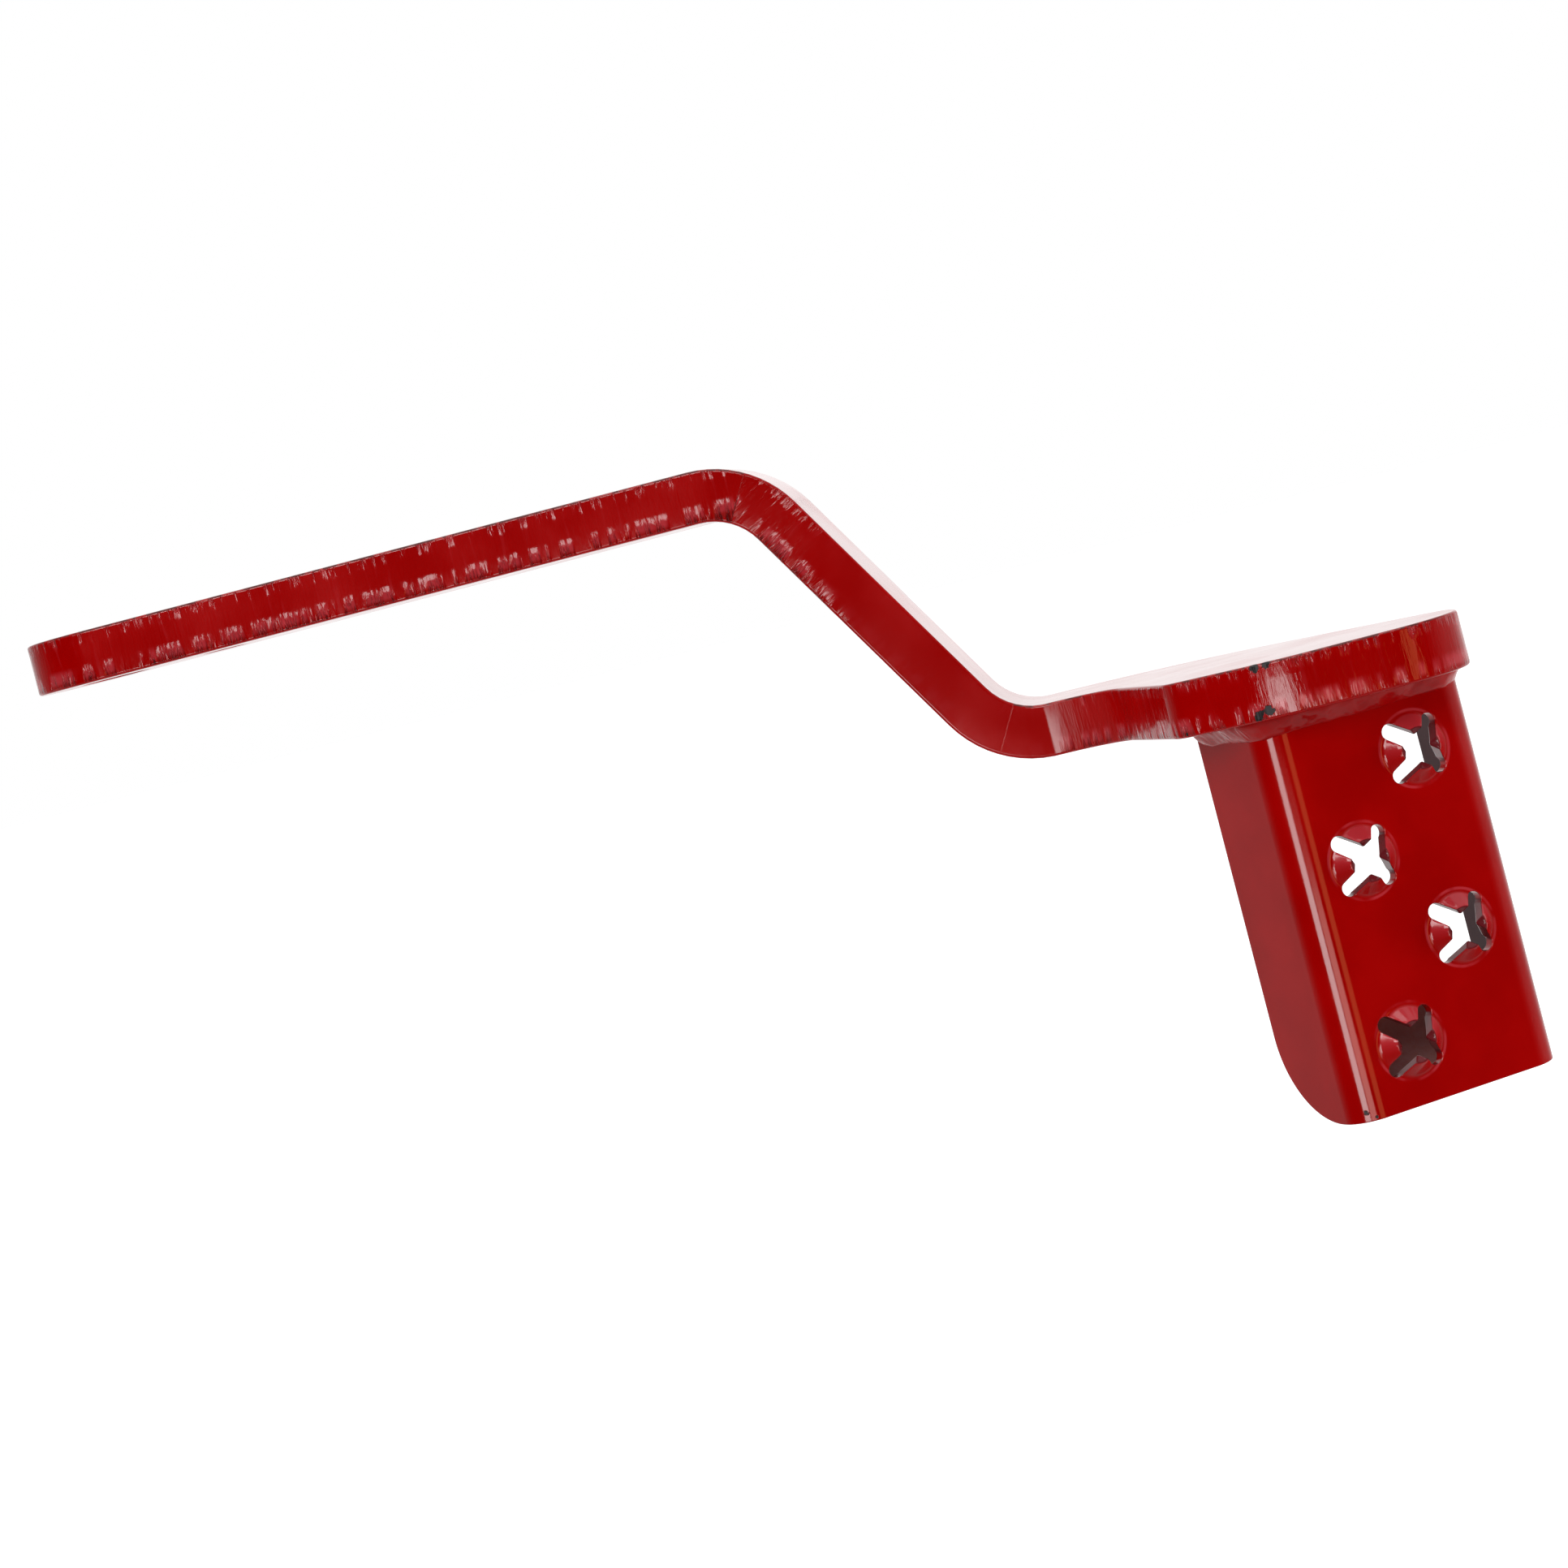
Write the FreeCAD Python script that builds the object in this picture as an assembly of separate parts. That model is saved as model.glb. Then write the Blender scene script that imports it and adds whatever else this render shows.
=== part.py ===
import FreeCAD, Part
import math
import os

# Foot pedal lever: a cranked flat bar with a pivot hole and a link hole at one end, and a punched
# tread hood welded under the wide pad at the other.  Millimetres, +Z up.  The origin is the centre
# of the pivot hole, half way through the bar.  +X runs from the pivot towards the pad.

# ---- driving dimensions -------------------------------------------------------------------
bar_thickness = 12.7
bar_width = 38.1
pivot_hole_radius = 8.3
link_hole_radius = 5.2
link_hole_distance = 28.6          # pivot centre to link hole centre

crank_drop = 75.0                  # from the bar's top face down to the pad's top face
crank_angle = 58.7                 # slope of the crank below the horizontal
crank_start = 168.8                # where the bar's top face, run straight, meets the slope
bend_inner_radius = 15.0

pad_reach = 58.6                   # how far the pad's knuckle stands out past the bar's front edge
pad_end = 319.5                    # pivot centre to the far end of the pad
pad_knuckle_inset = 42.5           # from the pad's end back to the knuckle, where its front edge turns
pad_flank_angle = 72.0             # the pad's inner side, from the bar's front edge
pad_flank_inset = 83.2             # from the pad's end back to where that side meets the bar's edge
pad_shoulder_angle = 23.0          # the edge from the flank out to the knuckle
pad_front_angle = 6.0              # the edge from the knuckle on, drawing back towards the end
pad_back_angle = 45.0              # the pad's slanted back edge
pad_root_radius = 20.0
pad_shoulder_radius = 8.0
pad_knuckle_radius = 35.0
pad_tip_radius = 17.5
pad_back_radius = 107.0

sheet = 3.0
tread_width = 52.9                 # across the sharp front corners
tread_length = 93.0                # below the pad
tread_depth = 27.4                 # front face to the open back
tread_turn = 25.0                  # the tread faces this far round from the bar's front edge
side_flare = 6.3                   # each side wall opens out by this angle
tread_corner_radius = 7.3
heel_radius = 20.0                 # round of the side walls' lower back corners
tread_end_inset = 49.6             # from the pad's end back to the tread's sharp inner front corner
tread_front_inset = 6.65           # from the pad's knuckle back to the same corner

hole_side_distance = 16.75         # hole centre to the nearer sharp front corner
first_hole_drop = 15.6             # below the pad
last_hole_rise = 14.7              # above the tread's lower end
hole_count = 4
dimple_radius = 8.75               # hole centre to the root of a petal
petal_tip_radius = 3.0
petal_slope = 46.0                 # the petals lean out of the sheet at this angle
petal_sheet = 2.5
petal_root_bend = 1.6              # radius of the sheet's bend at the root, on its outer face
lobe_offset = 1.5                  # each petal is round about its own centre, this far out
slit_centre = 5.0                  # centre of each rounded slit end, along both axes
slit_end_radius = 1.9

root_weld_width = 4.6
root_weld_height = 6.2
root_weld_stop = 2.0               # the side beads stop this short of the hood's open back
weld_hollow = 0.55                 # how far the bead's face dips between its two toes

# ---- derived sizes ------------------------------------------------------------------------
half_thickness = bar_thickness / 2
half_width = bar_width / 2
bend_outer_radius = bend_inner_radius + bar_thickness
pad_top = half_thickness - crank_drop
pad_bottom = pad_top - bar_thickness
tread_bottom = pad_bottom - tread_length
pad_front = -half_width - pad_reach
pad_knuckle = pad_end - pad_knuckle_inset
pad_flank_foot = pad_end - pad_flank_inset
hole_pitch = (tread_length - first_hole_drop - last_hole_rise) / (hole_count - 1)
crank_run = crank_drop / math.tan(math.radians(crank_angle))
crank_foot = crank_start + crank_run
turn = math.radians(tread_turn)
flare = math.radians(side_flare)
along = FreeCAD.Vector(math.cos(turn), math.sin(turn), 0)
inward = FreeCAD.Vector(-math.sin(turn), math.cos(turn), 0)
corner = FreeCAD.Vector(pad_end - tread_end_inset, pad_front + tread_front_inset, 0)
beyond = 20.0                      # how far cutters reach past what they cut
round_end_gap = 0.001              # flat left between the two arcs of the bar's round end


def vec(x, y, z=0.0):
    return FreeCAD.Vector(x, y, z)


def rounded_wire(points, radii):
    """Closed wire through points, each corner rounded by an arc of the radius beside it."""
    count = len(points)
    starts = []
    ends = []
    middles = []
    for i in range(count):
        here = points[i]
        before = (points[i - 1] - here).normalize()
        after = (points[(i + 1) % count] - here).normalize()
        radius = radii[i]
        half = before.getAngle(after) / 2
        if radius == 0 or half > math.pi / 2 - 1e-6:
            starts.append(here)
            ends.append(here)
            middles.append(None)
            continue
        length = radius / math.tan(half)
        starts.append(here + before * length)
        ends.append(here + after * length)
        bisector = (before + after).normalize()
        middles.append(here + bisector * (radius / math.sin(half) - radius))
    edges = []
    for i in range(count):
        if middles[i] is not None:
            edges.append(Part.Arc(starts[i], middles[i], ends[i]).toShape())
        following = starts[(i + 1) % count]
        if (following - ends[i]).Length > 1e-6:
            edges.append(Part.LineSegment(ends[i], following).toShape())
    return Part.Wire(edges)


def prism(wire, direction):
    return Part.Face(wire).extrude(direction)


# ---- bar ----------------------------------------------------------------------------------
def bar_side_profile():
    """The folded strip seen from the front: two bends between three straight runs."""
    slope_shift = bar_thickness * math.tan(math.radians(crank_angle) / 2)
    left = -half_width - beyond
    right = pad_end + beyond
    top = half_thickness
    points = [
        vec(left, 0, top),
        vec(crank_start, 0, top),
        vec(crank_foot, 0, pad_top),
        vec(right, 0, pad_top),
        vec(right, 0, pad_bottom),
        vec(crank_foot - slope_shift, 0, pad_bottom),
        vec(crank_start - slope_shift, 0, -top),
        vec(left, 0, -top),
    ]
    radii = [0, bend_outer_radius, bend_inner_radius, 0, 0, bend_outer_radius, bend_inner_radius, 0]
    return rounded_wire(points, radii)


def pad_shoulder():
    """Where the pad's flank meets the edge that runs out to the knuckle."""
    flank = math.tan(math.radians(pad_flank_angle))
    shoulder = math.tan(math.radians(pad_shoulder_angle))
    knuckle_run = pad_knuckle - pad_flank_foot
    run = (pad_reach - knuckle_run * shoulder) / (flank - shoulder)
    return vec(pad_flank_foot + run, -half_width - run * flank)


def pad_tip():
    """Where the pad's front and slanted back edges meet, placed so that its round ends at pad_end."""
    front = math.radians(pad_front_angle)
    half = math.radians(pad_back_angle + pad_front_angle) / 2
    lean = math.radians(pad_back_angle - pad_front_angle) / 2
    centre_x = pad_end - pad_tip_radius
    edge_y = pad_front + (centre_x - pad_knuckle) * math.tan(front)
    centre = vec(centre_x, edge_y + pad_tip_radius / math.cos(front))
    return centre + vec(math.cos(lean), -math.sin(lean)) * (pad_tip_radius / math.sin(half))


def bar_plan():
    """Outline of the bar and its pad seen from above."""
    tip = pad_tip()
    back_run = (half_width - tip.y) / math.tan(math.radians(pad_back_angle))
    end_radius = half_width - round_end_gap
    corners = [
        (vec(-half_width, -half_width), end_radius),
        (vec(pad_flank_foot, -half_width), pad_root_radius),
        (pad_shoulder(), pad_shoulder_radius),
        (vec(pad_knuckle, pad_front), pad_knuckle_radius),
        (tip, pad_tip_radius),
        (vec(tip.x - back_run, half_width), pad_back_radius),
        (vec(-half_width, half_width), end_radius),
    ]
    return rounded_wire([point for point, radius in corners], [radius for point, radius in corners])


def plan_prism(top):
    """Everything under the bar's outline from the tread's lower end up to top."""
    plan = bar_plan()
    plan.translate(vec(0, 0, tread_bottom))
    return prism(plan, vec(0, 0, top - tread_bottom))


def make_bar():
    depth = bar_width + pad_reach + 2 * beyond
    profile = bar_side_profile()
    profile.translate(vec(0, pad_front - beyond))
    strip = prism(profile, vec(0, depth))
    bar = strip.common(plan_prism(half_thickness + beyond))
    for distance, radius in ((0, pivot_hole_radius), (link_hole_distance, link_hole_radius)):
        start = vec(distance, 0, -bar_thickness)
        bar = bar.cut(Part.makeCylinder(radius, 2 * bar_thickness, start))
    return bar


# ---- tread --------------------------------------------------------------------------------
def on_tread(across, back, height=0.0):
    """Point measured from the tread's sharp inner front corner."""
    return corner + along * across + inward * back + vec(0, 0, height)


def tread_section(inset, depth, top, height):
    """Vertical prism of the hood's section, moved in from its outer faces by inset."""
    side = inset / math.cos(flare) + inset * math.tan(flare)
    front_left = on_tread(side, inset, top)
    front_right = on_tread(tread_width - side, inset, top)
    spread = (depth - inset) * math.tan(flare)
    points = [
        front_left,
        front_right,
        on_tread(tread_width - side + spread, depth, top),
        on_tread(side - spread, depth, top),
    ]
    radius = tread_corner_radius - inset
    return prism(rounded_wire(points, [radius, radius, 0, 0]), vec(0, 0, -height))


def heel_prism(inset, back):
    """Side view of the hood, its lower back corner round, moved in by inset."""
    low = tread_bottom + inset
    start = -beyond
    points = [
        on_tread(start, 0, pad_bottom + beyond),
        on_tread(start, back, pad_bottom + beyond),
        on_tread(start, back, low),
        on_tread(start, 0, low),
    ]
    wire = rounded_wire(points, [0, 0, heel_radius - inset, 0])
    return prism(wire, along * (tread_width + 2 * beyond))


def punched_hole_cutter():
    """Four-armed opening: round slit ends on the diagonals, petal tips on the axes."""
    tip = vec(petal_tip_radius, 0)
    end = vec(slit_centre, slit_centre)
    gap = end - tip
    reach = math.sqrt(gap.Length ** 2 - slit_end_radius ** 2)
    lean = math.atan2(gap.y, gap.x) - math.asin(slit_end_radius / gap.Length)
    touch = tip + vec(math.cos(lean), math.sin(lean)) * reach
    far = end + vec(1, 1).normalize() * slit_end_radius
    mirrored_touch = vec(touch.y, touch.x)
    next_tip = vec(0, petal_tip_radius)
    quarter = [
        Part.LineSegment(tip, touch).toShape(),
        Part.Arc(touch, far, mirrored_touch).toShape(),
        Part.LineSegment(mirrored_touch, next_tip).toShape(),
    ]
    edges = []
    for step in range(4):
        for edge in quarter:
            turned = edge.copy()
            turned.rotate(vec(0, 0), vec(0, 0, 1), 90 * step)
            edges.append(turned)
    wire = Part.Wire(edges)
    wire.translate(vec(0, 0, -beyond))
    return prism(wire, vec(0, 0, 2 * beyond))


def petal_section():
    """Half section of the leaning sheet, seen from the side, with the hole's axis at x = 0."""
    slope = math.radians(petal_slope)
    lean_in = vec(-math.cos(slope), 0, math.sin(slope))
    face_out = vec(math.sin(slope), 0, math.cos(slope))
    root = vec(dimple_radius, 0)
    bend = petal_root_bend * math.tan(slope / 2)
    bend_end = root - vec(bend, 0) + lean_in * bend
    centre = root + vec(0, 0, petal_root_bend)
    bend_middle = centre - vec(math.sin(slope / 2), 0, math.cos(slope / 2)) * petal_root_bend
    # the square-cut end runs from the outer face's edge down to the hole's narrowest point
    across_end = petal_sheet * math.sin(slope)
    length = (bend_end.x - petal_tip_radius - across_end) / math.cos(slope)
    tip_face = bend_end + lean_in * length
    tip_under = tip_face - face_out * petal_sheet
    throat = vec(tip_under.x + (tip_under.z + sheet) / math.tan(slope), 0, -sheet)
    below = vec(dimple_radius, 0, -sheet)
    edges = [
        Part.Arc(root, bend_middle, bend_end).toShape(),
        Part.LineSegment(bend_end, tip_face).toShape(),
        Part.LineSegment(tip_face, tip_under).toShape(),
        Part.LineSegment(tip_under, throat).toShape(),
        Part.LineSegment(throat, below).toShape(),
        Part.LineSegment(below, root).toShape(),
    ]
    return Part.Face(Part.Wire(edges))


def quarter_wedge(height):
    """Prism over the quarter of the plane that one petal fills."""
    reach = 2 * dimple_radius
    start = vec(0, 0, -height)
    outline = Part.makePolygon([start, start + vec(reach, -reach), start + vec(reach, reach), start])
    return prism(outline, vec(0, 0, 2 * height))


def four_lobes(shape):
    """Cut a round shape down to one quarter and repeat it about the hole's axis."""
    lobe = shape.common(quarter_wedge(beyond))
    lobes = []
    for step in range(4):
        turned = lobe.copy()
        turned.rotate(vec(0, 0), vec(0, 0, 1), 90 * step)
        lobes.append(turned)
    return lobes[0].fuse(lobes[1:])


def petals():
    """Four leaning petals round the hole, their sheet's face at z = 0."""
    axis_point = vec(lobe_offset, 0)
    ring = petal_section().revolve(axis_point, vec(0, 0, 1), 360)
    return four_lobes(ring)


def petal_root_cutter():
    """What the petals replace in the flat sheet."""
    start = vec(lobe_offset, 0, -sheet - 1)
    return four_lobes(Part.makeCylinder(dimple_radius - lobe_offset, sheet + 2, start))


def place_on_face(shape, across, drop):
    """Turn a shape drawn about +Z so that it points out of the tread's front face."""
    placed = shape.copy()
    placed.rotate(vec(0, 0), vec(1, 0, 0), 90)
    placed.rotate(vec(0, 0), vec(0, 0, 1), tread_turn)
    placed.translate(on_tread(across, 0, pad_bottom - drop))
    return placed


def hole_places():
    """Holes step down the tread, right and left of its middle by turns."""
    places = []
    for step in range(hole_count):
        across = tread_width - hole_side_distance if step % 2 == 0 else hole_side_distance
        places.append((across, first_hole_drop + step * hole_pitch))
    return places


def make_channel():
    height = tread_length
    outer = tread_section(0, tread_depth, pad_bottom, height)
    outer = outer.common(heel_prism(0, tread_depth))
    inner = tread_section(sheet, tread_depth + beyond, pad_bottom + beyond, height + 2 * beyond)
    channel = outer.cut(inner)
    ring = petals()
    slits = punched_hole_cutter()
    opening = petal_root_cutter()
    for across, drop in hole_places():
        channel = channel.cut(place_on_face(opening, across, drop))
        channel = channel.fuse(place_on_face(ring, across, drop))
        channel = channel.cut(place_on_face(slits, across, drop))
    return channel.removeSplitter()


def make_end_cap():
    """Strip bent round the heel, set in between the side walls."""
    inside = tread_section(sheet, tread_depth, tread_bottom + heel_radius, heel_radius)
    return inside.common(heel_prism(0, tread_depth)).cut(heel_prism(sheet, tread_depth - sheet))


# ---- welds --------------------------------------------------------------------------------
def bead_section(root, outward):
    """Hollow-faced triangle with its square corner at root, under the pad and against the hood."""
    foot = root + outward * root_weld_width
    head = root - vec(0, 0, root_weld_height)
    size = math.hypot(root_weld_width, root_weld_height)
    face_out = outward * (root_weld_height / size) - vec(0, 0, root_weld_width / size)
    middle = (foot + head) * 0.5 - face_out * weld_hollow
    edges = [
        Part.LineSegment(root, foot).toShape(),
        Part.Arc(foot, middle, head).toShape(),
        Part.LineSegment(head, root).toShape(),
    ]
    return Part.Wire(edges)


def side_outward(side):
    """Outward direction of a side wall: -1 is the inner wall, 1 the outer."""
    return FreeCAD.Rotation(vec(0, 0, 1), -side * side_flare).multVec(along * side)


def make_root_welds():
    """Bead across the tread's front and round its corners, and the bead along its inner wall."""
    radius = tread_corner_radius
    corner_turn = 90 - side_flare
    setback = radius * math.tan(math.radians(corner_turn) / 2)
    inner_centre = on_tread(setback, radius, pad_bottom)
    outer_centre = on_tread(tread_width - setback, radius, pad_bottom)
    front_out = inward * -1
    inner_out = side_outward(-1)
    inner_start = inner_centre + inner_out * radius
    inner_corner = Part.Face(bead_section(inner_start, inner_out))
    inner_corner = inner_corner.revolve(inner_centre, vec(0, 0, 1), corner_turn)
    straight = prism(bead_section(inner_centre + front_out * radius, front_out), outer_centre - inner_centre)
    outer_corner = Part.Face(bead_section(outer_centre + front_out * radius, front_out))
    outer_corner = outer_corner.revolve(outer_centre, vec(0, 0, 1), corner_turn)
    front = straight.fuse([inner_corner, outer_corner]).removeSplitter()
    # the bead can't be wider than the pad over it
    front = front.common(plan_prism(pad_bottom))
    run = FreeCAD.Rotation(vec(0, 0, 1), -90).multVec(inner_out)
    length = tread_depth / math.cos(flare) - setback - root_weld_stop
    side = prism(bead_section(inner_start, inner_out), run * length)
    return front, side


names = {}
names["arm_plate"] = make_bar()
names["tread_channel"] = make_channel()
names["tread_end_cap"] = make_end_cap()
names["root_weld_front"], names["root_weld_inner_side"] = make_root_welds()

os.makedirs("parts", exist_ok=True)
for name, shape in names.items():
    print(name, len(shape.Solids), shape.isValid(), round(shape.Volume, 1), shape.optimalBoundingBox())
    shape.exportStep("parts/" + name + ".step")
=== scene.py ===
# %% [markdown]
# # A welded foot lever in gloss red
# The object is a cranked steel bar with a wide pad, and under the pad hangs a folded tread hood with
# four punched holes.  All of it was welded first and painted afterwards, so one thick glossy coat
# runs over every piece.  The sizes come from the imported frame.  What Blender adds is what a maker's
# hand and a paint gun add: softened edges, cut marks, lumpy welds, chips and a deep wet-looking red.

# %% Load the frame
import bpy
import bmesh
import math
from mathutils import Matrix, Vector


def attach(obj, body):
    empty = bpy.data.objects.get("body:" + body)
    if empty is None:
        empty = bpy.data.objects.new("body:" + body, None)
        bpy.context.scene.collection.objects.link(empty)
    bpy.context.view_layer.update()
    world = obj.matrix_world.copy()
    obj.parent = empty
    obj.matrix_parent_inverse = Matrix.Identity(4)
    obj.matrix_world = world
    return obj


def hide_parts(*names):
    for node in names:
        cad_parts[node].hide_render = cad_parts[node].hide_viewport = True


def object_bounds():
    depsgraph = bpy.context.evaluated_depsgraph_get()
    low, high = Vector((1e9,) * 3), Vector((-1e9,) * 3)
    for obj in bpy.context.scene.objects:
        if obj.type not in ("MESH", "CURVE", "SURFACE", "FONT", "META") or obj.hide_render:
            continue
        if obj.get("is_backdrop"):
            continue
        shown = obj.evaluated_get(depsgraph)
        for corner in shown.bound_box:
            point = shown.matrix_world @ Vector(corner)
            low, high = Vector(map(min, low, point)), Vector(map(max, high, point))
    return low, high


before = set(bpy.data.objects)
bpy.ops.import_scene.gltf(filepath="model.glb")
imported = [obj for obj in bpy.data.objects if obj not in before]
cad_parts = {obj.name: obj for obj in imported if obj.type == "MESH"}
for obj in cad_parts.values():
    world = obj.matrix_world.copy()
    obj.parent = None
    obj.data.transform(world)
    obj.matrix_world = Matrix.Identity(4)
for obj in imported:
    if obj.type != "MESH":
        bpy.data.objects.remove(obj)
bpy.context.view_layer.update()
scene = bpy.context.scene
MM = 0.001
print("nodes:", sorted(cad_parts))

# %% [markdown]
# ## Camera
# The camera looks level, almost square to the bar's front edge, from a height between the raised bar
# and the low pad.  So the bar's underside and the pad's top both show as narrow slivers.  It is rolled
# so that the bar climbs across the picture.  The roll could be put on the object instead, but then
# its frame would no longer agree with the other tools.  A small shift places the object in the
# picture without turning the camera.

# %% Camera
CAMERA_PLACE = (0.25994, -0.86301, -0.0232)
CAMERA_TURN, CAMERA_LEVEL, CAMERA_ROLL = 4.508, 90.02, -14.53       # degrees
camera_data = bpy.data.cameras.new("camera")
camera_data.lens = 81.38
camera_data.sensor_width = 36.0
camera_data.shift_x = -0.06
camera_data.shift_y = -0.15
camera = bpy.data.objects.new("camera", camera_data)
scene.collection.objects.link(camera)
aim_turn = Matrix.Rotation(math.radians(CAMERA_TURN), 4, "Z")
aim_level = Matrix.Rotation(math.radians(CAMERA_LEVEL), 4, "X")
aim_roll = Matrix.Rotation(math.radians(CAMERA_ROLL), 4, "Z")
camera.matrix_world = Matrix.Translation(CAMERA_PLACE) @ aim_turn @ aim_level @ aim_roll
scene.camera = camera
scene.view_settings.view_transform = "Standard"
print("camera at", tuple(round(v, 3) for v in camera.matrix_world.translation))

# %% [markdown]
# ## Shader maths
# A paint is a lot of small sums: how far a point is from an edge, how much noise to mix in.  They
# could be wired by hand, node by node.  One small class that wraps a socket and understands + - * /
# lets them be written as ordinary Python, and one method makes every other kind of node.

# %% A socket that can do sums
class Value:
    """One output socket of a node tree, usable in a sum."""

    def __init__(self, sheet, socket):
        self.sheet = sheet
        self.socket = socket

    def sum(self, operation, left, right=0.0):
        return self.sheet.node("ShaderNodeMath", {"operation": operation}, {0: left, 1: right})

    def __add__(self, other):
        return self.sum("ADD", self, other)

    def __radd__(self, other):
        return self.sum("ADD", other, self)

    def __sub__(self, other):
        return self.sum("SUBTRACT", self, other)

    def __rsub__(self, other):
        return self.sum("SUBTRACT", other, self)

    def __mul__(self, other):
        return self.sum("MULTIPLY", self, other)

    def __rmul__(self, other):
        return self.sum("MULTIPLY", other, self)

    def __truediv__(self, other):
        return self.sum("DIVIDE", self, other)

    def __pow__(self, other):
        return self.sum("POWER", self, other)

    def __abs__(self):
        return self.sum("ABSOLUTE", self)

    def highest(self, other):
        return self.sum("MAXIMUM", self, other)

    def lowest(self, other):
        return self.sum("MINIMUM", self, other)

    def ramp(self, low, high, start=0.0, end=1.0):
        """Smooth step: start below low, end above high."""
        settings = {"interpolation_type": "SMOOTHSTEP"}
        places = {"Value": self, "From Min": low, "From Max": high, "To Min": start, "To Max": end}
        return self.sheet.node("ShaderNodeMapRange", settings, places)


# %% A sheet of nodes
class Sheet:
    """A node tree and the one method that adds nodes to it."""

    def __init__(self, tree):
        self.tree = tree
        self.tree.nodes.clear()

    def node(self, kind, settings, places, output=0):
        made = self.tree.nodes.new(kind)
        for key, value in settings.items():
            setattr(made, key, value)
        for key, value in places.items():
            if isinstance(value, Value):
                self.tree.links.new(value.socket, made.inputs[key])
            else:
                made.inputs[key].default_value = value
        return None if output is None else Value(self, made.outputs[output])

    def split(self, vector):
        """The three parts of a vector."""
        first = self.node("ShaderNodeSeparateXYZ", {}, {"Vector": vector})
        parts = first.socket.node.outputs
        return [Value(self, part) for part in parts]

    def noise(self, vector, scale, detail=2.0, roughness=0.5, distortion=0.0):
        places = {"Vector": vector, "Scale": scale, "Detail": detail, "Roughness": roughness,
                  "Distortion": distortion}
        return self.node("ShaderNodeTexNoise", {}, places)

    def blend(self, mask, below, above):
        """Colour below where the mask is 0, above where it is 1."""
        return self.node("ShaderNodeMix", {"data_type": "RGBA"}, {0: mask, 6: below, 7: above}, 2)

    def from_place(self, vector, place, turn):
        """The point as it is measured from place, along axes turned about the vertical."""
        places = {"Vector": vector, "Location": place, "Rotation": (0, 0, turn)}
        return self.node("ShaderNodeMapping", {"vector_type": "TEXTURE"}, places)


print("shader helpers ready")

# %% [markdown]
# ## Light
# A glossy red part shows its surroundings more than its own colour.  Behind it and above it the
# room is white, which turns the pad's top and the bar's underside almost white where they are seen
# at a shallow angle.  In front of it the room is dark, so the faces that look forward stay deep red.
# A ready-made picture of a room could do this, but a small formula on the direction is enough, and
# the camera itself sees plain white.  A low soft box below the camera is caught only by what is
# round or tilts down a little, so it draws the bright upright lines on the rounded corners and the
# row of glints along the bar, and leaves the flat faces dark.  A high one does the same from above.
# A weak one fills the corners' right half, a small orange one gives them a warm edge, and a wide one
# lights everything from overhead.  The sixth, on the right, lights the paint but is kept out of its
# reflections.

# %% Room
world = bpy.data.worlds.new("studio")
scene.world = world
world.use_nodes = True
room = Sheet(world.node_tree)
direction = room.node("ShaderNodeTexCoord", {}, {}, "Generated")
across, deep, up = room.split(direction)
behind = ((deep + 0.55) / 1.55).highest(0.0) ** 3.0
above = up.highest(0.0) ** 2.0
below = (0.0 - up).highest(0.0) ** 2.0
right = across.highest(0.0) ** 12.0
strength = behind * 1.15 + above * 0.6 + below * 0.3 + right * 0.15
seen = room.node("ShaderNodeBackground", {}, {"Color": (1, 1, 1, 1), "Strength": 1.0})
lit = room.node("ShaderNodeBackground", {}, {"Color": (1, 1, 1, 1), "Strength": strength})
straight = room.node("ShaderNodeLightPath", {}, {}, "Is Camera Ray")
both = room.node("ShaderNodeMixShader", {}, {0: straight, 1: lit, 2: seen})
room.node("ShaderNodeOutputWorld", {}, {"Surface": both}, None)
print("room nodes:", len(room.tree.nodes))


# %% Lamps
def soft_box(name, place, aim, width, height, power, tint=(1, 1, 1)):
    data = bpy.data.lights.new(name, "AREA")
    data.shape = "RECTANGLE"
    data.size = width
    data.size_y = height
    data.energy = power
    data.color = tint
    lamp = bpy.data.objects.new(name, data)
    scene.collection.objects.link(lamp)
    lamp.location = place
    lamp.rotation_euler = (Vector(aim) - Vector(place)).to_track_quat("-Z", "Y").to_euler()
    lamp.visible_camera = False
    return lamp


soft_box("low_front", (-0.21, -1.45, -0.35), (0.2, 0, -0.10), 0.50, 0.42, 4.6)
soft_box("low_fill", (0.36, -1.45, -0.46), (0.26, 0, -0.10), 0.50, 0.34, 2.4, (1.0, 0.62, 0.55))
soft_box("warm_front", (1.10, -1.25, -0.20), (0.27, 0, -0.10), 0.44, 0.6, 1.6, (1.0, 0.36, 0.14))
soft_box("high_front", (-0.15, -1.40, 0.62), (0.2, 0, -0.05), 0.9, 0.6, 12)
soft_box("overhead", (0.2, -0.1, 1.5), (0.2, 0, 0), 1.2, 1.2, 8)
right_side = soft_box("right_side", (1.3, 0.1, -0.1), (0.3, 0, -0.1), 0.6, 0.6, 6)
right_side.visible_glossy = False       # it lights the right side without a grey glint on it
print("lamps placed")
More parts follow.
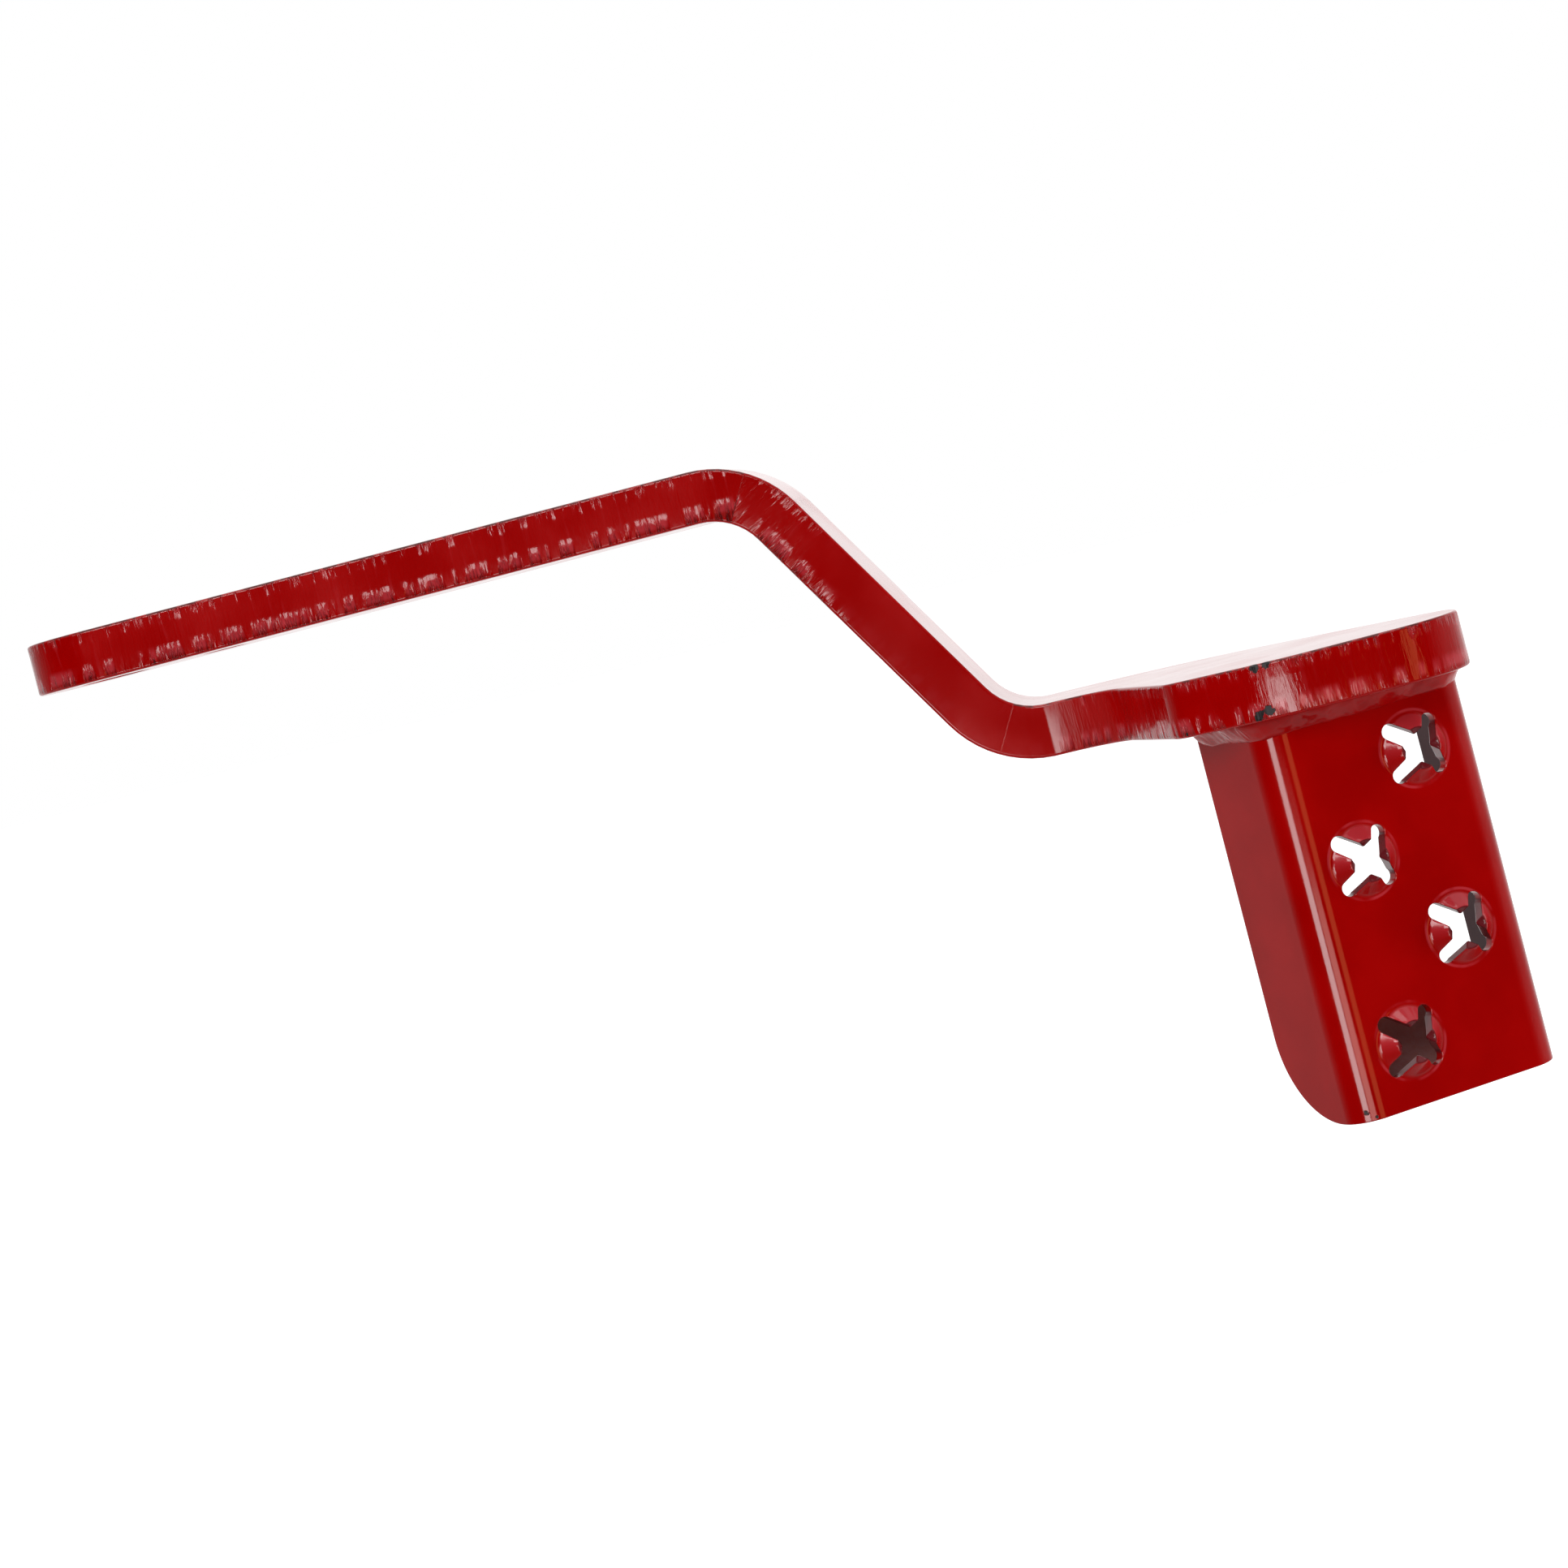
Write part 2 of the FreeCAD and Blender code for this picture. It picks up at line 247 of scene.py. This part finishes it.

# %% [markdown]
# ## Red gloss paint
# The coat is a deep blood red with a wet shine.  A single glossy red would look like plastic, and
# the shader's clear coat ignores the bump, so most of the shine is put on the paint itself and only
# a little on the coat.  A slow drift of tone and a fine orange peel lie over every piece.  The rest
# belongs to certain places: cut marks with pale painted highlights on the bar, a few chips, a
# dusting of paint inside the hood with painted shade on its inner walls, and the punched petals with
# a painted highlight and painted shade on their cut edges.  Each has its own helper, which says
# where and how strongly the paint changes.  Only colour, roughness, metal, clear coat and the bump
# change from place to place, because an export bakes those.

# %% Colours
RED = (0.31, 0.0, 0.0, 1)
BRIGHT_RED = (0.44, 0.0006, 0.0008, 1)
# pale pink for painted highlights on the bar's edge faces and on the petals
HIGHLIGHT_PINK = (0.72, 0.09, 0.12, 1)
DARK_WEAR = (0.035, 0.006, 0.005, 1)
BARE_STEEL = (0.045, 0.043, 0.045, 1)
# dark red for painted shade on the petals' cut edges
CUT_EDGE_SHADE = (0.10, 0.010, 0.014, 1)
THIN_PAINT = (0.34, 0.17, 0.155, 1)
# very dark red for painted shade on the hood's inner side walls
INNER_WALL_SHADE = (0.075, 0.018, 0.022, 1)
print("fresh red:", RED[:3])


# %% Millimetres
def in_millimetres(paint, vector):
    """The three parts of a place, in millimetres."""
    return [part / MM for part in paint.split(vector)]


def distance(paint, start, end):
    return paint.node("ShaderNodeVectorMath", {"operation": "DISTANCE"}, {0: start, 1: end}, 1)


print("one millimetre is", MM, "in the scene")

# %% [markdown]
# ## Cut marks and painted highlights on the bar
# The bar's edge faces carry fine upright lines, like the ones that a cutting flame leaves.  In the
# bump the face also falls away a little towards its upper and lower edge.  That tips the gloss
# towards the soft boxes, so the edges glint in broken patches.  On top of that, pale pink patches
# along the face's lower part, lines along its upper part and faint lines over all of it are painted
# highlights in the colour.  The lines have to stay square to the bar on the slope too.  So two
# measures are worked out first: level goes through the bar's thickness and run goes along its
# length, on all three straight parts.  Noise that hardly changes with level makes the lines.

# %% Level and run
HALF_BAR = 6.35
CRANK_DROP = 75.0
SLOPE_START = 168.8
SLOPE_SINE = math.sin(math.radians(58.7))
SLOPE_COSINE = math.cos(math.radians(58.7))


def along_the_bar(x, z):
    """Level in the bar's thickness, run along its length, and a mask of the slope."""
    on_slope = (x - SLOPE_START) * SLOPE_SINE + (z - HALF_BAR) * SLOPE_COSINE + HALF_BAR
    level = on_slope.highest(z).lowest(z + CRANK_DROP).highest(-HALF_BAR).lowest(HALF_BAR)
    sloping = (on_slope - z).ramp(-0.1, 0.1) * (z + CRANK_DROP - on_slope).ramp(-0.1, 0.1)
    down_slope = (x - SLOPE_START) * SLOPE_COSINE - (z - HALF_BAR) * SLOPE_SINE
    return level, x + sloping * (down_slope - x), sloping


print("slope starts at", SLOPE_START, "mm and drops", CRANK_DROP, "mm")

# %% Cut marks and painted highlights
LINE_STRETCH = 0.1            # how much less the noise changes through the thickness
LINE_DEPTH = 0.10             # mm, as the next one
HAIR_DEPTH = 0.05
FALL_LOW_FROM = -1.4          # levels where the face starts to fall away
FALL_HIGH_FROM = 2.4
SMOOTH_STARTS = (172, 184)    # places along the bar, as the next four
SMOOTH_STOPS = (222, 228)
FLANK_STARTS = (222, 227)
FLANK_STOPS = (238, 246)
KNUCKLE = (268, 278)
SMOOTH_SHARE = 0.9            # how much of the marks the slope and the lower bend lack


def cut_marks_and_painted_highlights(paint, point, facing):
    """Masks of painted pale highlights and of worn edges, the relief in mm, and how much is duller."""
    x, y, z = in_millimetres(paint, point)
    _, ny, nz = paint.split(facing)
    level, run, sloping = along_the_bar(x, z)
    upright = 1.0 - abs(nz).ramp(0.25, 0.6)
    marked = 1.0 - x.ramp(*SMOOTH_STARTS) * x.ramp(*SMOOTH_STOPS, 1.0, 0.0) * SMOOTH_SHARE

    combed = paint.node("ShaderNodeCombineXYZ", {}, {"X": run, "Y": y, "Z": level * LINE_STRETCH})
    lines = paint.noise(combed, 0.62, 3.0, 0.6, 0.3)
    hairs = paint.noise(combed, 1.50, 2.0, 0.6, 0.3)
    patches = paint.noise(combed, 0.26, 2.0, 0.5).ramp(0.44, 0.56)

    low_band = level.ramp(-5.6, -4.4) * level.ramp(-3.4, -1.4, 1.0, 0.0)
    high_band = level.ramp(2.6, 5.6)
    # painted highlight: pale patches low on the face and lines high on it stand in for glints
    painted_highlight_streaks = low_band * patches + high_band * lines.ramp(0.45, 0.7) * 0.55
    painted_highlight_streaks = (painted_highlight_streaks + lines.ramp(0.55, 0.75) * 0.2) * upright * marked

    # glints are fainter past the knuckle, and the cut is roughest where the pad's flank begins
    glints = 0.055 * patches * hairs.ramp(0.36, 0.50) * x.ramp(*KNUCKLE, 1.0, 0.2)
    fall_low = (FALL_LOW_FROM - level).highest(0.0) ** 2.0 * (0.003 + glints)
    fall_high = (level - FALL_HIGH_FROM).highest(0.0) ** 2.0
    fall_high = fall_high * (0.002 + 0.060 * lines.ramp(0.48, 0.72))
    flank_foot = x.ramp(*FLANK_STARTS) * x.ramp(*FLANK_STOPS, 1.0, 0.0) * (1.0 - nz.ramp(0.2, 0.5))
    marks = (lines * LINE_DEPTH + hairs * HAIR_DEPTH) * (1.0 + flank_foot * 1.8)
    relief = (marks - (fall_low + fall_high) * marked) * upright * marked
    duller = flank_foot * 0.26 * abs(ny).ramp(0.5, 0.8)

    # the sharp edges that look up are worn, but not down the slope
    edge = (abs(ny * nz) * 2.0).ramp(0.45, 0.9) * nz.ramp(0.0, 0.2) * (1.0 - sloping)
    worn = edge * paint.noise(point, 260.0, 4.0, 0.7).ramp(0.45, 0.52)
    return painted_highlight_streaks, worn, relief, duller


print("cut marks fall away below", FALL_LOW_FROM, "and above", FALL_HIGH_FROM, "mm")

# %% [markdown]
# ## Chips
# Dark steel shows through the paint at a few small chips along the pad's edges, by the front weld and
# at the hood's lower corner.  They could be cut into the mesh, but they are only as deep as the paint.
# So each is a round spot in the material, whose edge is made ragged by noise.

# %% Chips
CHIPS = [                     # centre and size, in millimetres
    ((271.8, -75.6, -69.2), 1.3),
    ((274.6, -76.0, -69.0), 1.1),
    ((270.4, -75.0, -80.0), 1.2),
    ((272.8, -75.4, -79.4), 1.4),
    ((253.6, -68.0, -80.6), 0.7),
    ((271.4, -69.9, -171.9), 1.3),
    ((273.6, -69.2, -173.4), 0.6),
]
CHIP_DEPTH = 0.12


def chipped(paint, point):
    """A mask of the bare chips."""
    bare = None
    ragged = paint.noise(point, 700.0, 3.0, 0.6) - 0.5
    for place, size in CHIPS:
        centre = tuple(v * MM for v in place)
        reach = distance(paint, point, centre) / MM
        spot = (reach + ragged * (1.6 * size)).ramp(size * 0.85, size, 1.0, 0.0)
        bare = spot if bare is None else bare.highest(spot)
    return bare


print("chips:", len(CHIPS))

# %% [markdown]
# ## Inside the hood, and the petals
# The hood's inside is given only a dusting of paint over the steel, and its inner side walls are
# made dark as painted shade.  Which point is inside is worked out from the hood's own corner: how
# far to its side, how far back and how high.  The end cap's outer side lies in the same space but
# looks backwards or down, so it is taken out again.  At the punched holes the petals that face up
# and a ring round them are made brighter as a painted highlight, and their cut edges and tips are
# made dark as painted shade.

# %% Hood sizes
TREAD_TURN = math.radians(25.0)
TREAD_CORNER = (269.9 * MM, -71.0 * MM, -81.35 * MM)
TREAD_WIDTH = 52.9
SHEET = 3.0
FLARE_ANGLE = 6.3
FLARE = math.tan(math.radians(FLARE_ANGLE))
HOLE_CENTRES = [(36.15, 0, -15.6), (16.75, 0, -36.5), (36.15, 0, -57.4), (16.75, 0, -78.3)]
print("holes:", len(HOLE_CENTRES))


# %% Inside of the hood
def hood_inside(paint, point, side, back, across, backward, upward):
    """A mask of the hood's inside, and its colour: a dusting of paint, with painted shade on the
    walls.
    """
    wall = SHEET - back * FLARE
    inside = (side - wall).ramp(-0.5, -0.1) * (TREAD_WIDTH - wall - side).ramp(-0.5, -0.1)
    inside = inside * back.ramp(SHEET - 0.6, SHEET - 0.2)
    downward = upward.ramp(-0.5, -0.3, 1.0, 0.0)
    outer = (backward.ramp(0.3, 0.6) * back.ramp(6.0, 8.0)).highest(downward)
    dust = paint.noise(point, 500.0, 3.0, 0.7).ramp(0.35, 0.75)
    thin_paint_and_wall_shade = paint.blend(dust * 0.25, THIN_PAINT, RED)
    # painted shade: the inner side walls, which face across, are made dark
    thin_paint_and_wall_shade = paint.blend(abs(across).ramp(0.5, 0.8), thin_paint_and_wall_shade, INNER_WALL_SHADE)
    return inside * (1.0 - outer), thin_paint_and_wall_shade


print("the sheet is", SHEET, "mm thick")

# %% Petals of the punched holes
RING_STARTS = (8.3, 8.7)      # distances from a hole's centre, in millimetres
RING_STOPS = (8.9, 9.3)
PETAL_STOPS = (8.0, 8.5)
CUT_SIDE_STOPS = (8.2, 8.7)
TIP_STOPS = (4.75, 5.0)


def petals(paint, point, side, back, rise, backward, upward):
    """Masks of the painted highlight on the petals and rings, and of the painted shade on the cut
    edges.
    """
    flat_place = paint.node("ShaderNodeCombineXYZ", {}, {"X": side, "Z": rise})
    nearest = None
    for centre in HOLE_CENTRES:
        reach = distance(paint, flat_place, centre)
        nearest = reach if nearest is None else nearest.lowest(reach)
    # painted highlight: a patchy ring round each hole and the petals that face up are made pinker
    patchy = paint.noise(point, 150.0, 2.0).ramp(0.35, 0.65)
    ring = nearest.ramp(*RING_STARTS) * nearest.ramp(*RING_STOPS, 1.0, 0.0) * patchy
    petal = nearest.ramp(*PETAL_STOPS, 1.0, 0.0) * back.ramp(-0.5, -0.1, 1.0, 0.0)
    petal = petal * upward.ramp(-0.3, 0.5)
    bright = (ring * 0.33).highest(petal * 0.32) * back.ramp(0.2, 0.6, 1.0, 0.0)
    # painted shade: the petals' cut edges and tips are made dark
    sides = abs(backward).ramp(0.25, 0.5, 1.0, 0.0) * nearest.ramp(*CUT_SIDE_STOPS, 1.0, 0.0)
    tips = nearest.ramp(*TIP_STOPS, 1.0, 0.0) * back.ramp(-1.2, -0.9, 1.0, 0.0)
    return bright, sides.highest(tips)


print("the ring ends", RING_STOPS[1], "mm from a hole's centre")

# %% [markdown]
# ## Putting the paint together
# The helpers' masks are laid over the red one after another: cut marks and wear first, then chips,
# and last what belongs to the hood.  One function makes all three materials, because they are one
# coat of paint on different surfaces.

# %% The paint
GLOSS = 0.10                  # roughness of the fresh paint
COAT = 0.12
PEEL_SCALES = (420.0, 120.0)


def red_paint(name, peel, flame_cut=False, hood=False):
    """Gloss red.  peel is the depth of the orange peel in mm."""
    material = bpy.data.materials.new(name)
    material.use_nodes = True
    paint = Sheet(material.node_tree)
    point = paint.node("ShaderNodeTexCoord", {}, {}, "Object")
    facing = paint.node("ShaderNodeNewGeometry", {}, {}, "Normal")

    drift = paint.noise(point, 45.0, 3.0).ramp(0.35, 0.7)
    colour = paint.blend(drift * 0.45, RED, BRIGHT_RED)
    fine, coarse = [paint.noise(point, scale, 2.0) for scale in PEEL_SCALES]
    height = fine * peel + coarse * (2.0 * peel)
    clear = 1.0 - paint.noise(point, 900.0, 1.0).ramp(0.70, 0.78) * 0.3
    rough = GLOSS + drift * 0.05

    if flame_cut:
        painted_highlight_streaks, worn, relief, duller = cut_marks_and_painted_highlights(paint, point, facing)
        # painted highlight: the pale pink streaks on the cut faces
        colour = paint.blend(painted_highlight_streaks * 0.30, colour, HIGHLIGHT_PINK)
        colour = paint.blend(worn * 0.85, colour, DARK_WEAR)
        height = height + relief
        clear = clear * (1.0 - worn)
        rough = rough + duller + worn * 0.3

    bare = chipped(paint, point)
    colour = paint.blend(bare, colour, BARE_STEEL)
    height = height - bare * CHIP_DEPTH
    rough = rough + bare * 0.45

    if hood:
        side, back, rise = in_millimetres(paint, paint.from_place(point, TREAD_CORNER, TREAD_TURN))
        nx, ny, nz = paint.split(facing)
        across = nx * math.cos(TREAD_TURN) + ny * math.sin(TREAD_TURN)
        backward = ny * math.cos(TREAD_TURN) - nx * math.sin(TREAD_TURN)
        inside, thin_paint_and_wall_shade = hood_inside(paint, point, side, back, across, backward, nz)
        bright, cut = petals(paint, point, side, back, rise, backward, nz)
        # a dusting of paint inside, with painted shade on the inner walls
        colour = paint.blend(inside, colour, thin_paint_and_wall_shade)
        # painted highlight on the petals and the rings round the holes
        colour = paint.blend(bright, colour, HIGHLIGHT_PINK)
        # painted shade on the petals' cut edges and tips
        colour = paint.blend(cut * 0.9, colour, CUT_EDGE_SHADE)
        clear = clear * (1.0 - cut) * (1.0 - inside)
        rough = rough + inside * 0.5

    bump = paint.node("ShaderNodeBump", {}, {"Strength": 1.0, "Distance": MM, "Height": height})
    finish = paint.node("ShaderNodeBsdfPrincipled", {}, {
        "Base Color": colour,
        "Roughness": rough,
        "Metallic": bare * 0.6,
        "Coat Weight": COAT * clear * (1.0 - bare),
        "Normal": bump,
        "Coat Roughness": 0.06,
        "Coat IOR": 1.5,
        "Specular IOR Level": 0.45,
    })
    paint.node("ShaderNodeOutputMaterial", {}, {"Surface": finish}, None)
    print(name, "has", len(paint.tree.nodes), "nodes")
    return material


# %% The three materials
bar_paint = red_paint("red_gloss_on_flame_cut_bar", 0.003, flame_cut=True)
sheet_paint = red_paint("red_gloss_on_folded_sheet", 0.004, hood=True)
weld_paint = red_paint("red_gloss_on_weld", 0.012)

# %% [markdown]
# ## Bar, hood and end cap
# These three keep their exact shapes from the frame, because pins and welds depend on them.  Real
# edges are never razor sharp, though: paint rounds them and they catch a thin line of light.  The
# frame's own meshes are loose triangles and stay untouched, so each is copied, its doubles merged,
# its flat triangles dissolved into whole faces, and then its sharp edges are bevelled.


# %% Copy a frame piece and soften its edges
def nothing_selected():
    if bpy.context.mode != "OBJECT":
        bpy.ops.object.mode_set(mode="OBJECT")
    bpy.ops.object.select_all(action="DESELECT")


def make_active(piece):
    nothing_selected()
    piece.select_set(True)
    bpy.context.view_layer.objects.active = piece


def apply_all(piece):
    make_active(piece)
    for modifier in list(piece.modifiers):
        bpy.ops.object.modifier_apply(modifier=modifier.name)


def stands_for(piece, *nodes):
    """The piece rides on the lever's one body and hides the nodes."""
    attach(piece, "root")
    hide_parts(*nodes)
    print(piece.name, "faces:", len(piece.data.polygons))


def softened_copy(node, name, radius, paint, steps=3):
    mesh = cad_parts[node].data.copy()
    mesh.name = name
    piece = bpy.data.objects.new(name, mesh)
    scene.collection.objects.link(piece)
    make_active(piece)
    bpy.ops.object.mode_set(mode="EDIT")
    bpy.ops.mesh.select_all(action="SELECT")
    bpy.ops.mesh.remove_doubles(threshold=0.002 * MM)
    bpy.ops.mesh.dissolve_limited(angle_limit=math.radians(0.3))
    bpy.ops.object.mode_set(mode="OBJECT")
    bpy.ops.mesh.customdata_custom_splitnormals_clear()
    bevel = piece.modifiers.new("soft_edges", "BEVEL")
    bevel.width = radius * MM
    bevel.segments = steps
    bevel.limit_method = "ANGLE"
    bevel.angle_limit = math.radians(38)
    bevel.use_clamp_overlap = False
    bevel.miter_outer = "MITER_ARC"
    apply_all(piece)
    bpy.ops.object.shade_smooth_by_angle(angle=math.radians(34))
    # large flat faces keep their own direction, so no bevel bends their reflections
    flat = piece.modifiers.new("flat_faces", "WEIGHTED_NORMAL")
    flat.weight = 100
    flat.keep_sharp = True
    apply_all(piece)
    piece.data.materials.clear()
    piece.data.materials.append(paint)
    stands_for(piece, node)


softened_copy("arm_plate", "crank_bar_with_pad", 0.7, bar_paint)
softened_copy("tread_channel", "tread_hood", 0.3, sheet_paint)
softened_copy("tread_end_cap", "hood_end_cap", 0.3, sheet_paint)

# %% [markdown]
# ## Weld beads
# A weld is a row of frozen puddles: its toes wander, its face sags a little, and it swells and
# thins along its way.  Displacing a smooth strip does this well.  A plane becomes the bead's cross
# section, its outer lower corner is pushed in so the face is hollow, it is extruded step by step
# along the hood, turned about each corner's centre, and then subdivided and roughened.

# %% Weld path
UP = Vector((0, 0, 1))
ALONG = Vector((math.cos(TREAD_TURN), math.sin(TREAD_TURN), 0))
INWARD = Vector((-math.sin(TREAD_TURN), math.cos(TREAD_TURN), 0))
CORNER = Vector(TREAD_CORNER)
CORNER_RADIUS = 7.3
CORNER_TURN = 90.0 - FLARE_ANGLE
SETBACK = CORNER_RADIUS * math.tan(math.radians(CORNER_TURN) / 2)


def on_tread(across, back):
    return CORNER + (ALONG * across + INWARD * back) * MM


inner_centre = on_tread(SETBACK, CORNER_RADIUS)
outer_centre = on_tread(TREAD_WIDTH - SETBACK, CORNER_RADIUS)
print("weld turns about", tuple(inner_centre), tuple(outer_centre))


# %% Bead tools
BEAD_LUMPS = ((7.0, 0.85), (3.0, 0.28))     # size and depth in millimetres
HOLLOW_UP = 0.62              # how far the outer lower corner is pushed in, in heights and widths
HOLLOW_IN = 0.60


def turned(vector, degrees):
    return Matrix.Rotation(math.radians(degrees), 3, "Z") @ vector


def section_at(name, place, outward, width, height, sink=0.9):
    """A plane across the path: its inner edge sinks into the wall, its top edge into the pad."""
    nothing_selected()
    middle = place + (outward * (width - sink) - UP * (height - sink)) * (MM / 2)
    angle = math.atan2(outward.y, outward.x)
    turn = (Matrix.Rotation(angle, 3, "Z") @ Matrix.Rotation(math.radians(90), 3, "X")).to_euler()
    bpy.ops.mesh.primitive_plane_add(size=1.0, location=middle, rotation=turn)
    piece = bpy.context.object
    piece.name = name
    piece.scale = ((width + sink) * MM, (height + sink) * MM, 1.0)
    bpy.ops.object.transform_apply(location=True, rotation=True, scale=True)
    bpy.ops.object.mode_set(mode="EDIT")
    mesh = bmesh.from_edit_mesh(piece.data)
    for vertex in mesh.verts:
        reach = (vertex.co - middle).dot(outward)
        vertex.select_set(reach > 0 and vertex.co.z < middle.z)
    mesh.select_flush_mode()
    bmesh.update_edit_mesh(piece.data)
    push = (UP * (height * HOLLOW_UP) - outward * (width * HOLLOW_IN)) * MM
    bpy.ops.transform.translate(value=push)
    bpy.ops.mesh.select_all(action="SELECT")
    return piece


def run_bead(step, count):
    for _ in range(count):
        bpy.ops.mesh.extrude_region_move(TRANSFORM_OT_translate={"value": step})


def turn_bead(centre, degrees, count, shrink=1.0):
    """Extrude round a corner; the window-less rotate turns the other way, so its sign is changed."""
    for _ in range(count):
        bpy.ops.mesh.extrude_region_move(TRANSFORM_OT_translate={"value": (0, 0, 0)})
        step = -math.radians(degrees / count)
        bpy.ops.transform.rotate(value=step, orient_axis="Z", center_override=centre)
        bpy.ops.transform.resize(value=(shrink, shrink, 1), center_override=centre)


def finish_bead(piece):
    bpy.ops.mesh.select_all(action="SELECT")
    bpy.ops.mesh.normals_make_consistent(inside=False)
    bpy.ops.object.mode_set(mode="OBJECT")
    smooth = piece.modifiers.new("rounded", "SUBSURF")
    smooth.levels = smooth.render_levels = 3
    for size, depth in BEAD_LUMPS:
        cloud = bpy.data.textures.new(piece.name + "_lumps", "CLOUDS")
        cloud.noise_scale = size * MM
        cloud.noise_depth = 1
        lumps = piece.modifiers.new("lumps", "DISPLACE")
        lumps.texture = cloud
        lumps.texture_coords = "LOCAL"
        lumps.strength = depth * MM
        lumps.mid_level = 0.5
    apply_all(piece)
    bpy.ops.object.shade_smooth()
    piece.data.materials.append(weld_paint)


print("bead lumps:", BEAD_LUMPS)

# %% Front bead, round both corners
FRONT_BEAD = (4.6, 6.2)       # width and height, in millimetres
END_SHARE = 0.9               # how much of the last corner it goes round
END_SHRINK = 0.972            # it is drawn in a little at each step there
CORNER_STEPS = 7
FRONT_STEPS = 22
inner_out = turned(-ALONG, FLARE_ANGLE)
inner_wall = inner_centre + inner_out * (CORNER_RADIUS * MM)
front_bead = section_at("weld_across_hood_front", inner_wall, inner_out, *FRONT_BEAD)
turn_bead(inner_centre, CORNER_TURN, CORNER_STEPS)
straight_run = outer_centre - inner_centre
run_bead(straight_run / FRONT_STEPS, FRONT_STEPS)
turn_bead(outer_centre, CORNER_TURN * END_SHARE, CORNER_STEPS, END_SHRINK)
finish_bead(front_bead)
stands_for(front_bead, "root_weld_front")

# %% Bead along the inner wall
SIDE_BEAD = (4.3, 5.9)
SIDE_LAP = 3.0                # it starts inside the front bead
SIDE_LENGTH = 22.0
SIDE_STEPS = 14
wall_run = turned(inner_out, -90.0)
side_start = inner_wall - wall_run * (SIDE_LAP * MM)
side_bead = section_at("weld_along_inner_wall", side_start, inner_out, *SIDE_BEAD)
run_bead(wall_run * (SIDE_LENGTH * MM / SIDE_STEPS), SIDE_STEPS)
finish_bead(side_bead)
stands_for(side_bead, "root_weld_inner_side")

# %% [markdown]
# ## Floor
# The floor is a plain white sheet well below the lever, about as bright as the room.  It starts just
# in front of the lever and stays out of the reflections, because a glossy face that looks forward or
# sideways would mirror it and turn from red to pink.

# %% Floor
floor_paint = bpy.data.materials.new("white_floor")
floor_paint.use_nodes = True
floor_sheet = Sheet(floor_paint.node_tree)
white = floor_sheet.node("ShaderNodeBsdfPrincipled", {}, {
    "Base Color": (0.92, 0.92, 0.92, 1), "Roughness": 0.9,
    "Emission Color": (1, 1, 1, 1), "Emission Strength": 0.7})
floor_sheet.node("ShaderNodeOutputMaterial", {}, {"Surface": white}, None)
nothing_selected()
low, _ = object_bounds()
FLOOR_SIZE = 30.0
FLOOR_FRONT = -0.1
FLOOR_DROP = 0.30
FLOOR_ACROSS = 0.15
floor_middle = (FLOOR_ACROSS, FLOOR_FRONT + FLOOR_SIZE / 2, low.z - FLOOR_DROP)
bpy.ops.mesh.primitive_plane_add(size=FLOOR_SIZE, location=floor_middle)
bpy.ops.object.transform_apply(location=True, rotation=True, scale=True)
floor = bpy.context.object
floor.name = "floor"
floor.visible_glossy = False       # the paint mirrors the room instead
floor.data.materials.append(floor_paint)
floor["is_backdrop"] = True
print("floor at", round(floor_middle[2], 3))

# %% Sizes, and the end
low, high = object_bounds()
print("visual box", [round(v * 1000, 1) for v in (*low, *high)])
